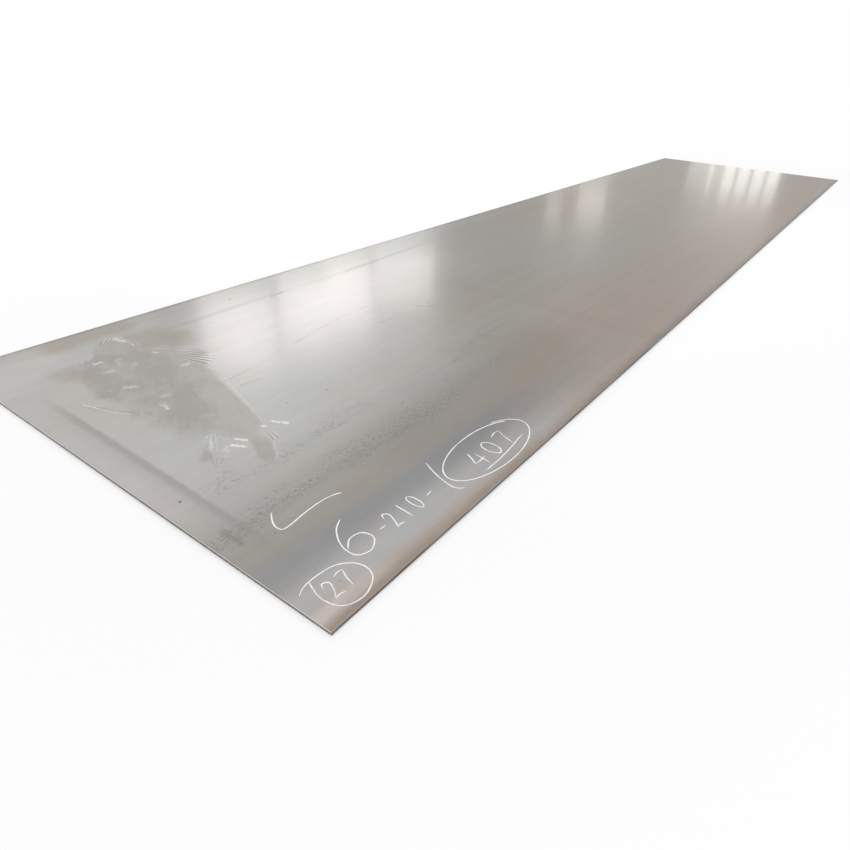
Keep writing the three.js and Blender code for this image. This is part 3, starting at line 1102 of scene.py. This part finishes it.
def mill_scale(name, handled):
    """The skin of a flat face. handled adds the marks that only the upper face has."""
    material, tree, shader, place = new_finish(name)
    place = vector(tree, "MULTIPLY", place, (1, 1, 0))
    colour, mottle = scale_colour(tree, place)
    roughness = spread(tree, mottle, *SCALE_ROUGHNESS)
    coat = spread(tree, mottle, *SCALE_COAT)
    metallic = SCALE_METALLIC
    seam = pushed(tree, nearest_stroke(tree, place, SEAM, 0.02), 0.02, mottle)
    haze, pitted, pit_glints = rolled_pits(tree, place, seam)
    smudge = times(tree, eased(tree, seam, 0.026, 0.006), eased(tree, mottle, 0.35, 0.6, 0.28, 0.07))
    colour = tint(tree, smudge, colour, SOOT_AND_SHADE)
    colour = tint(tree, haze, colour, OLIVE_SOOT)
    colour = tint(tree, times(tree, pitted, 0.5), colour, SOOT_AND_SHADE)
    colour = tint(tree, times(tree, pit_glints, 0.16), colour, WORN_AND_HIGHLIGHT)

    if handled:
        dirt = noise(tree, stretched(tree, place, 0.09, 0.03, 2.0), 1.0, 4.0, 0.65)
        colour = tint(tree, soiling(tree, place, dirt), colour, GRIME)
        patch, colour = rubbed_patch(tree, place, colour)
        roughness = tint_value(tree, patch, roughness, RUBBED_ROUGHNESS)
        metallic = tint_value(tree, patch, metallic, RUBBED_METALLIC)
        coat = times(tree, coat, maths(tree, "SUBTRACT", 1.0, patch))
        colour = paler_and_darker_parts(tree, place, dirt, colour)
        colour = creases(tree, place, dirt, colour)

    relief = {"Strength": 0.15, "Distance": PIT_DEPTH, "Height": times(tree, pitted, -0.8)}
    plug(tree, shader, {
        "Base Color": colour,
        "Roughness": roughness,
        "Metallic": metallic,
        "Coat Weight": coat,
        "Coat Roughness": COAT_ROUGHNESS,
        "Normal": node(tree, "Bump", relief).outputs[0],
    })
    return material


def sheared_steel():
    """The cut ends: a bright arris, a dark burnished band, and torn steel ridged through it. The
    arris is bare from wear and has a painted highlight on top, and the band's dark is partly
    painted shade under the rollover.

    depth is the distance from the face that the blade met, which is the lower one at the tail end.
    """
    material, tree, shader, place = new_finish("sheared_steel")
    along, _, height = axes(tree, place)
    at_tail = maths(tree, "GREATER_THAN", along, LENGTH / 2)
    depth = tint_value(tree, at_tail, maths(tree, "SUBTRACT", THICKNESS, height), height)
    ridges = noise(tree, vector(tree, "MULTIPLY", place, (1.0, 320.0, 60.0)), 1.0, 3.0, 0.6)
    patches = noise(tree, vector(tree, "MULTIPLY", place, (1.0, 14.0, 40.0)), 1.0, 3.0, 0.6)
    torn = tint(tree, eased(tree, ridges, 0.35, 0.65), TORN_DARK, TORN)
    # The burnished band is painted dark: partly its own colour, partly painted shade under the rollover.
    burnished = tint(tree, eased(tree, ridges, 0.4, 0.6), BURNISHED_AND_SHADE_DARK, BURNISHED_AND_SHADE)
    line = swayed(tree, depth, 0.0025, patches)
    colour = tint(tree, eased(tree, line, 0.0026, 0.0036), burnished, torn)
    colour = tint(tree, eased(tree, patches, 0.56, 0.68, 0.0, 0.6), colour, TARNISHED)
    # A painted highlight on the rollover, on top of its bare steel from wear.
    bright_arris = eased(tree, pushed(tree, depth, 0.0004, ridges), 0.0009, 0.0006)
    colour = tint(tree, bright_arris, colour, WORN_AND_HIGHLIGHT)
    roughness = spread(tree, ridges, *SHEARED_ROUGHNESS)
    plug(tree, shader, {"Base Color": colour, "Roughness": roughness, "Metallic": SHEARED_METALLIC})
    return material


def mill_edge_finish():
    """The strip's own edges: dark, browned scale, with painted highlights where they turn into the faces.
    """
    material, tree, shader, place = new_finish("mill_edge")
    run = noise(tree, stretched(tree, place, 0.2, 0.002, 5.0), 1.0, 4.0, 0.6)
    blotch = noise(tree, vector(tree, "MULTIPLY", place, (9.0, 1.0, 60.0)), 1.0, 3.0, 0.6)
    colour = tint(tree, eased(tree, run, 0.35, 0.65), BROWN_SCALE_DARK, BROWN_SCALE)
    colour = tint(tree, eased(tree, blotch, 0.5, 0.68, 0.0, 0.6), colour, RUST)
    # Painted highlight: the rounded turns into the flat faces are painted paler, as light from above would
    # make them.
    off_middle = maths(tree, "SUBTRACT", axes(tree, place)[2], THICKNESS / 2)
    bright_arris = eased(tree, maths(tree, "ABSOLUTE", off_middle), 0.0031, 0.0037)
    bright_arris = times(tree, bright_arris, eased(tree, blotch, 0.6, 0.4, 0.1, 0.7))
    colour = tint(tree, bright_arris, colour, EDGE_GREY)
    plug(tree, shader, {"Base Color": colour, "Roughness": EDGE_ROUGHNESS, "Metallic": EDGE_METALLIC})
    return material


# In the order of TOP, UNDER, END and EDGE.
plate_mesh.materials.append(mill_scale("mill_scale", True))
plate_mesh.materials.append(mill_scale("mill_scale_under", False))
plate_mesh.materials.append(sheared_steel())
plate_mesh.materials.append(mill_edge_finish())

# --- Chalk marks ----------------------------------------------------------------------------------
# Soft white chalk, drawn by hand on the upper face near its right edge: a tick, plain numbers, two
# rings round some of them, and a few strokes. The line is thin at its ends and breaks up on the scale.
CHALK_WIDTH = 0.0034
CHALK_HEIGHT = 0.00004
CHALK_TAPER = 0.012  # length of a line's end over which it thins
THINNEST = 0.2  # share of the width that is left at the very end
STROKE_STEPS = 10  # between two knots of a hand-drawn line
RING_STEPS = 120

# The section of a line: how far across it each corner is, how high, and how hard it is pressed.
SECTION_ACROSS = np.array([-1.0, -0.6, 0.0, 0.6, 1.0, 0.0])
SECTION_CROWN = np.array([0.25, 0.85, 1.0, 0.85, 0.25, 0.0])
SECTION_PRESSURE = np.array([0.55, 0.95, 1.0, 0.95, 0.55, 1.0])

# Each figure is drawn in a box one wide and one high, as one or two lines through a few knots.
FIGURES = {
    "0": (
        ((0.62, 0.98), (0.25, 0.85), (0.1, 0.4), (0.4, 0.02), (0.82, 0.25), (0.85, 0.75), (0.5, 1.0)),
    ),
    "1": (((0.55, 1.0), (0.5, 0.5), (0.42, 0.0)),),
    "2": (
        ((0.08, 0.75), (0.35, 1.0), (0.78, 0.82), (0.5, 0.4), (0.05, 0.03)),
        ((0.05, 0.03), (0.5, 0.08), (0.95, 0.0)),
    ),
    "4": (
        ((0.5, 1.0), (0.25, 0.65), (0.02, 0.38), (0.5, 0.34), (1.0, 0.38)),
        ((0.78, 0.78), (0.7, 0.4), (0.6, -0.05)),
    ),
    "6": (
        ((0.85, 1.0), (0.45, 0.82), (0.12, 0.45), (0.12, 0.1), (0.5, -0.02), (0.88, 0.16),
         (0.82, 0.42), (0.45, 0.48), (0.12, 0.3)),
    ),
    "7": (
        ((0.02, 0.9), (0.5, 0.98), (0.95, 0.94)),
        ((0.95, 0.94), (0.6, 0.5), (0.38, 0.0)),
    ),
}

# Numbers as (figures, left end and baseline, width and height of a figure, step to the next).
NUMBERS = (
    ("27", (0.058, 0.046), (0.026, 0.046), 0.034),
    ("6", (0.152, 0.084), (0.076, 0.108), 0.0),
    ("210", (0.272, 0.082), (0.024, 0.052), 0.037),
    ("407", (0.560, 0.062), (0.042, 0.062), 0.060),
)
# Lines that belong to no figure: the tick, the small ring, two dashes, a slanting stroke and the
# underline.
LOOSE_STROKES = (
    ((0.144, 0.318), (0.130, 0.300), (0.120, 0.279), (0.122, 0.261), (0.141, 0.258),
     (0.186, 0.2635), (0.231, 0.265), (0.262, 0.261), (0.284, 0.251)),
    ((0.022, 0.102), (0.038, 0.1105), (0.056, 0.114), (0.084, 0.1135), (0.116, 0.107),
     (0.140, 0.087), (0.149, 0.062), (0.143, 0.038), (0.124, 0.022), (0.096, 0.013),
     (0.068, 0.018), (0.050, 0.033), (0.043, 0.059), (0.045, 0.082), (0.057, 0.116)),
    ((0.243, 0.108), (0.262, 0.106)),
    ((0.388, 0.100), (0.412, 0.104)),
    ((0.487, 0.1775), (0.464, 0.125), (0.4525, 0.0725), (0.4675, 0.050)),
    ((0.556, 0.050), (0.640, 0.052), (0.745, 0.064)),
)

# The big ring is an ellipse drawn by hand: from RING_START on, by a little more than a full turn.
RING_CENTRE = (0.634, 0.098)
RING_HALF_AXES = (0.163, 0.071)
RING_START = radians(28)
RING_TURN = radians(385)
RING_GROWTH = 0.07


def hand_curve(knots):
    """A smooth line through the knots: a Catmull-Rom spline, with its first and last knots doubled.

    Between knots b and c, with a before them and d after, and t from 0 to 1, it is half of
    2b + (c - a)t + (2a - 5b + 4c - d)t^2 + (3b - a - 3c + d)t^3.
    """
    knots = np.array(knots, dtype=float)
    padded = np.concatenate([knots[:1], knots, knots[-1:]])
    a, b, c, d = (padded[k:len(padded) - 3 + k, None] for k in range(4))
    t = (np.arange(STROKE_STEPS) / STROKE_STEPS)[None, :, None]
    curve = 2 * b + (c - a) * t + (2 * a - 5 * b + 4 * c - d) * t**2 + (3 * b - a - 3 * c + d) * t**3
    return np.concatenate([curve.reshape(-1, 2) / 2, knots[-1:]])


def ring_curve():
    """The big ring: an ellipse drawn on past its start, which grows by RING_GROWTH on the way round."""
    share = np.linspace(0, 1, RING_STEPS + 1)[:, None]
    angle = RING_START + RING_TURN * share
    way = np.hstack([np.cos(angle), np.sin(angle)]) * RING_HALF_AXES
    return np.array(RING_CENTRE) + way * (1 + RING_GROWTH * (share - 0.5))


def chalk_ribbon(line, seed):
    """A closed ribbon along a line, as its points, its faces and the pressure at each point.

    Its section has six points: a crown over five of them and one underneath. Its width wanders, and
    falls off as a square root over CHALK_TAPER at each end.
    """
    ahead = np.gradient(line, axis=0)
    ahead /= np.linalg.norm(ahead, axis=1, keepdims=True)
    sideways = ahead[:, ::-1] * (-1, 1)
    travel = np.concatenate([[0], np.cumsum(np.linalg.norm(np.diff(line, axis=0), axis=1))])
    to_end = np.minimum(travel, travel[-1] - travel)
    thinning = np.sqrt(np.clip(to_end / CHALK_TAPER, THINNEST**2, 1))
    half = CHALK_WIDTH / 2 * thinning * (1 + 0.2 * wandering(travel, 0.014, seed))
    flat = line[:, None] + sideways[:, None] * half[:, None, None] * SECTION_ACROSS[None, :, None]
    x, y = flat[..., 0] - LENGTH / 2, flat[..., 1] - WIDTH / 2
    z = rolled_thickness + FLATNESS + waves(x, y) + CHALK_HEIGHT * SECTION_CROWN
    rings, sides = z.shape
    ids = np.arange(z.size).reshape(rings, sides)
    tube = grid_quads(np.hstack([ids, ids[:, :1]]))
    caps = [ids[0].tolist(), ids[-1, ::-1].tolist()]
    pressed = 0.75 + 0.25 * wandering(travel, 0.03, seed + 1)
    pressure = pressed[:, None] * SECTION_PRESSURE
    return np.stack([x, y, z], axis=-1).reshape(-1, 3), tube.tolist() + caps, pressure.ravel()


lines = [hand_curve(knots) for knots in LOOSE_STROKES]
lines.append(ring_curve())
for figures, origin, size, step in NUMBERS:
    for nth, figure in enumerate(figures):
        corner = np.array(origin) + (step * nth, 0)
        lines += [hand_curve(np.array(knots) * size + corner) for knots in FIGURES[figure]]

chalk_points, chalk_faces, pressures = [], [], []
for number, line in enumerate(lines):
    offset = sum(len(ribbon) for ribbon in chalk_points)
    ribbon, ribbon_faces, pressure = chalk_ribbon(line, 100 + 2 * number)
    chalk_points.append(ribbon)
    chalk_faces += [[offset + corner for corner in face] for face in ribbon_faces]
    pressures.append(pressure)

chalk_mesh = bpy.data.meshes.new("chalk_marks")
chalk_mesh.from_pydata(np.concatenate(chalk_points), [], chalk_faces)
pressed_hard = chalk_mesh.attributes.new("pressure", "FLOAT", "POINT")
pressed_hard.data.foreach_set("value", np.concatenate(pressures))
turn_outwards(chalk_mesh)
chalk_mesh.shade_smooth()

chalk = add_object("chalk_marks", chalk_mesh)
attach(chalk, "root")

material, tree, shader, place = new_finish("white_chalk")
pressure = node(tree, "Attribute", attribute_name="pressure").outputs["Fac"]
powder = noise(tree, place, 700.0, 2.0, 0.6)
held = swayed(tree, pressure, 1.3, powder)
plug(tree, shader, {
    "Base Color": grey(tree, spread(tree, powder, 0.86, 0.93)),
    "Roughness": 0.9,
    "Alpha": eased(tree, held, 0.30, 0.65, 0.35, 1.0),
})
chalk_mesh.materials.append(material)

scene.view_settings.view_transform = "Standard"
